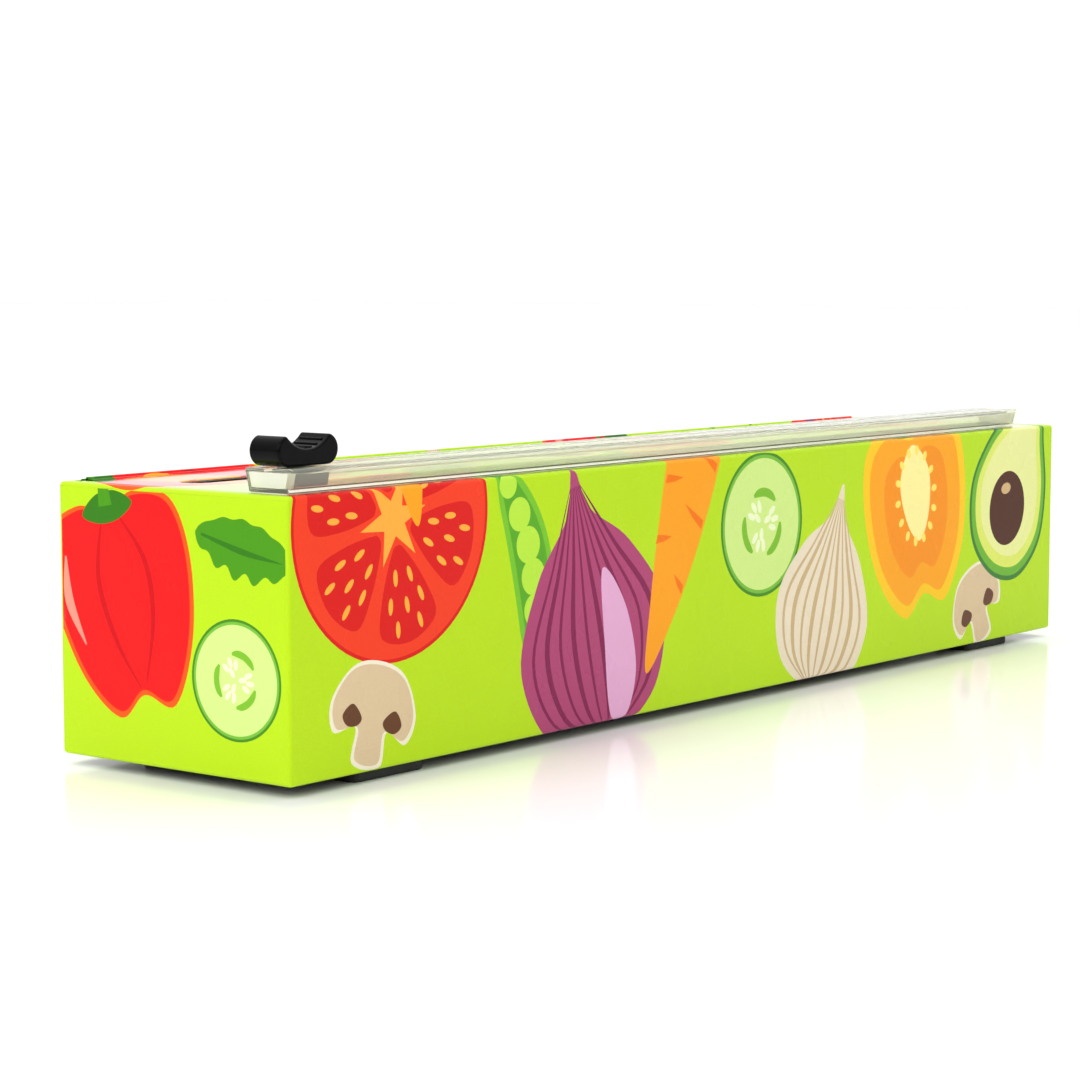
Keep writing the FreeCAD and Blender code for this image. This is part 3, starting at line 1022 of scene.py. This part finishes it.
def hinge_paper():
    """The creased strip that joins the lid to the back rim, with its rolled bead."""
    low, high = box_mm("hinge_strip")
    centre_y, centre_z = HINGE_Y, HINGE_Z
    radius = high.z - centre_z
    leaf_z, edge_z = WRAP_HIGH.z + LEAF_RISE, WRAP_HIGH.z + LEAF_EDGE_RISE
    profile = [(high.y, edge_z), (high.y - LEAF_TAPER, leaf_z), (centre_y + 1.6 * radius, leaf_z)]
    for step in range(9):
        angle = math.radians(-8 + 196 * step / 8)
        profile.append((centre_y + radius * math.cos(angle), centre_z + radius * math.sin(angle)))
    profile += [(centre_y - 1.7 * radius, leaf_z), (centre_y - (LEAF_REACH - LEAF_TAPER), leaf_z),
                (centre_y - LEAF_REACH, edge_z)]
    stretch = (len(profile) - 1) / (profile[0][0] - profile[-1][0])
    back_y = TOP_START + DEPTH / 2 + profile[0][0]
    main = carried(main_drawing(), lambda x, y: (x - LENGTH / 2, (back_y - y) * stretch))
    outline = rectangle(low.x, high.x, 0.0, len(profile) - 1.0)
    folds = [((low.x, float(k)), (high.x, float(k))) for k in range(1, len(profile) - 1)]
    flat, faces = cut_sheet(outline, [("hinge", outline, main)], folds=folds)
    points = []
    for x, v in flat:
        index = max(0, min(int(v), len(profile) - 2))
        share = v - index
        (y0, z0), (y1, z1) = profile[index], profile[index + 1]
        points.append((x, y0 + (y1 - y0) * share, z0 + (z1 - z0) * share))
    turned = [(corners[::-1], name, colour) for corners, name, colour in faces]
    piece = printed_piece("hinge_paper", points, turned, MATERIALS["print"], 0.15)
    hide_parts("hinge_strip")
    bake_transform(piece)


# ---------------------------------------------------------------- the cutter track and slider


def rounded_corners(corners, steps=4):
    """A closed outline from (x, y, radius) corners, each rounded by its own radius."""
    points = []
    count = len(corners)
    for index, (x, y, radius) in enumerate(corners):
        here = Vector((x, y))
        before = (Vector(corners[index - 1][:2]) - here).normalized()
        after = (Vector(corners[(index + 1) % count][:2]) - here).normalized()
        if radius <= 0:
            points.append((x, y))
            continue
        half = before.angle(after) / 2
        reach = radius / math.tan(half)
        centre = here + (before + after).normalized() * (radius / math.sin(half))
        start = here + before * reach - centre
        end = here + after * reach - centre
        turn = start.angle_signed(end)
        for step in range(steps + 1):
            angle = -turn * step / steps
            points.append((centre.x + start.x * math.cos(angle) - start.y * math.sin(angle),
                           centre.y + start.x * math.sin(angle) + start.y * math.cos(angle)))
    return points


def clear_track():
    """The extruded clear channel: flaring walls and two lips with softly rounded edges."""
    low, high = box_mm("cutter_track")
    centre = (low.y + high.y) / 2
    base, top = TRACK_BASE / 2, (high.y - low.y) / 2
    flare = (top - base) / (high.z - low.z)
    floor, roof = low.z + TRACK_WALL, high.z - TRACK_LIP

    def half(z, inset=0.0):
        return base + flare * (z - low.z) - inset

    slit = TRACK_SLIT / 2
    right = [(base, low.z, 0.35), (top, high.z, 0.6), (slit, high.z, 0.3), (slit, roof, 0.25),
             (half(roof, TRACK_WALL), roof, 0.35), (half(floor, TRACK_WALL), floor, 0.5)]
    section = [(centre + y, z, radius) for y, z, radius in right]
    section += [(centre - y, z, radius) for y, z, radius in right[::-1]]
    outline = rounded_corners(section)
    chamfer = 0.2
    rings = []
    for x, shrink in ((low.x, chamfer), (low.x + chamfer, 0.0), (high.x - chamfer, 0.0), (high.x, chamfer)):
        scale = 1 - shrink / top
        middle = (low.z + high.z) / 2
        rings.append([(x, centre + (y - centre) * scale, middle + (z - middle) * scale) for y, z in outline])
    piece = loft("clear_track", rings, MATERIALS["clear"])
    finish_piece(piece, "lid", "clear_plastic", "cutter_track")


def wound_roll():
    """The film's roll: a slightly uneven barrel with a proud outer wrap, its ends showing wound rings."""
    low, high = box_mm("film_roll")
    outer, inner = (high.z - low.z) / 2, CORE_RADIUS
    centre_z = (high.z + low.z) / 2
    around, along = 96, 40
    spots = random.Random(7)
    shifts = [spots.uniform(-0.12, 0.0) for _ in range(along + 1)]

    def ring(x, radius, step_out):
        points = []
        for k in range(around):
            angle = 2 * math.pi * k / around
            reach = radius - (step_out if k < 3 else 0.0)
            points.append((x, -reach * math.sin(angle), centre_z + reach * math.cos(angle)))
        return points

    sections = []
    for step in range(9):
        radius = inner + (outer - 0.5 - inner) * step / 8
        sections.append(ring(low.x + (0.12 if step % 2 else 0.0), radius, 0.0))
    for step in range(along + 1):
        x = low.x + 0.2 + (high.x - low.x - 0.4) * step / along
        sections.append(ring(x, outer + shifts[step] * 0.8, 0.06 * (1 + math.sin(step * 0.7))))
    for step in range(9):
        radius = outer - 0.5 - (outer - 0.5 - inner) * step / 8
        sections.append(ring(high.x - (0.12 if step % 2 else 0.0), radius, 0.0))
    count = around
    points = [point for section in sections for point in section]
    faces = []
    rows = len(sections)
    for row in range(rows):
        following = (row + 1) % rows
        for k in range(count):
            nxt = (k + 1) % count
            faces.append((row * count + k, row * count + nxt, following * count + nxt, following * count + k))
    piece = mesh_piece("wound_film", points, faces, MATERIALS["film"], 50.0)
    finish_piece(piece, "roll", "cling_film", "film_roll")


# ---------------------------------------------------------------- finishes of the CAD pieces that stay

NODE_FINISH = {
    "board": ("bottom_board", "front_board", "back_board", "left_end_board", "right_end_board", "front_ledge",
              "left_ledge", "right_ledge", "lid_board"),
    "lining": ("inner_liner", "lid_liner"),
    "rubber": ("rubber_foot_front_left", "rubber_foot_front_right", "rubber_foot_back_left",
               "rubber_foot_back_right"),
    "plug": ("track_stop_left", "track_stop_right"),
    "tape": ("track_tape",),
    "black": ("slider_knob", "slider_shoe"),
    "blade": ("cutter_blade",),
    "magnet": ("catch_magnets",),
    "plate": ("catch_plates",),
    "card": ("film_core",),
}
NODE_BEVEL = {"rubber": 0.25, "board": 0.12, "magnet": 0.15, "plate": 0.1, "plug": 0.2, "card": 0.1}


def finish_nodes():
    """Gives each CAD node that stays its material, and softens its sharp edges."""
    for finish, names in NODE_FINISH.items():
        for name in names:
            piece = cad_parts[name]
            piece.data.materials.clear()
            piece.data.materials.append(MATERIALS[finish])
            if finish in NODE_BEVEL:
                weld = piece.modifiers.new("weld", "WELD")
                weld.merge_threshold = 1e-6
                bevel(piece, NODE_BEVEL[finish])


wrapped_box()
underside()
lid_top()
hinge_paper()
clear_track()
wound_roll()
finish_nodes()

# ---------------------------------------------------------------- camera, lights and floor

CAMERA_AZIMUTH = -51.84
CAMERA_ELEVATION = 5.615
CAMERA_AIM = Vector((-0.0613, -0.0177, 0.0467))
CAMERA_DISTANCE = 0.700
CAMERA_LENS = 93.94
SENSOR_WIDTH = 36.0
FLOOR_REACH = 6.0
BEHIND = (0.78, 0.61, 0.0)          # the way from the camera past the object
SURROUND_FALL = {"From Min": -0.5, "From Max": 0.35, "To Min": 0.56, "To Max": 1.1}
# name, place, aim and size in metres, power in watts
LIGHTS = (
    ("left_soft", (-1.3, 0.15, 0.8), (-0.15, 0.0, 0.03), 0.9, 8.0),
    ("front_soft", (-0.7, -1.2, 0.9), (-0.1, 0.0, 0.03), 0.9, 3.6),
    ("top_soft", (0.1, 0.0, 1.8), (0.0, 0.0, 0.0), 2.2, 17.0),
)


def make_camera():
    """The camera, at the angle that shows the slider's end and the front."""
    data = bpy.data.cameras.new("camera")
    data.lens = CAMERA_LENS
    data.sensor_width = SENSOR_WIDTH
    data.clip_start = 0.01
    data.clip_end = 50.0
    camera = link(bpy.data.objects.new("camera", data))
    azimuth, elevation = math.radians(CAMERA_AZIMUTH), math.radians(CAMERA_ELEVATION)
    back = Vector((math.sin(azimuth) * math.cos(elevation), -math.cos(azimuth) * math.cos(elevation),
                   math.sin(elevation)))
    camera.location = CAMERA_AIM + back * CAMERA_DISTANCE
    camera.rotation_mode = "QUATERNION"
    camera.rotation_quaternion = (-back).to_track_quat("-Z", "Y")
    bpy.context.scene.camera = camera


def area_light(name, place, aim, size, power):
    """A square soft light."""
    data = bpy.data.lights.new(name, "AREA")
    data.energy = power
    data.size = size
    lamp = link(bpy.data.objects.new(name, data))
    lamp.location = place
    lamp.rotation_mode = "QUATERNION"
    lamp.rotation_quaternion = (Vector(aim) - Vector(place)).to_track_quat("-Z", "Y")


def make_studio():
    """A white floor that mirrors a little, a white surround and soft lights."""
    bpy.context.scene.view_settings.view_transform = "Standard"
    world = bpy.data.worlds.new("surround")
    world.use_nodes = True
    nodes, links = world.node_tree.nodes, world.node_tree.links
    direction = nodes.new("ShaderNodeTexCoord")
    towards = nodes.new("ShaderNodeVectorMath")
    towards.operation = "DOT_PRODUCT"
    towards.inputs[1].default_value = BEHIND
    links.new(direction.outputs["Generated"], towards.inputs[0])
    fall = nodes.new("ShaderNodeMapRange")
    for socket, value in SURROUND_FALL.items():
        fall.inputs[socket].default_value = value
    links.new(towards.outputs["Value"], fall.inputs["Value"])
    links.new(fall.outputs["Result"], nodes["Background"].inputs["Strength"])
    nodes["Background"].inputs["Color"].default_value = (1.0, 1.0, 1.0, 1.0)
    bpy.context.scene.world = world
    mesh = bpy.data.meshes.new("floor")
    corners = [(x, y, 0) for x, y in rectangle(-FLOOR_REACH, FLOOR_REACH, -FLOOR_REACH, FLOOR_REACH)]
    mesh.from_pydata(corners, [], [(0, 1, 2, 3)])
    finish = Finish("floor", grey(0.96), Roughness=0.14, Specular_IOR_Level=0.2)
    mesh.materials.append(finish.material)
    floor = link(bpy.data.objects.new("floor", mesh))
    for light in LIGHTS:
        area_light(*light)


make_camera()
make_studio()
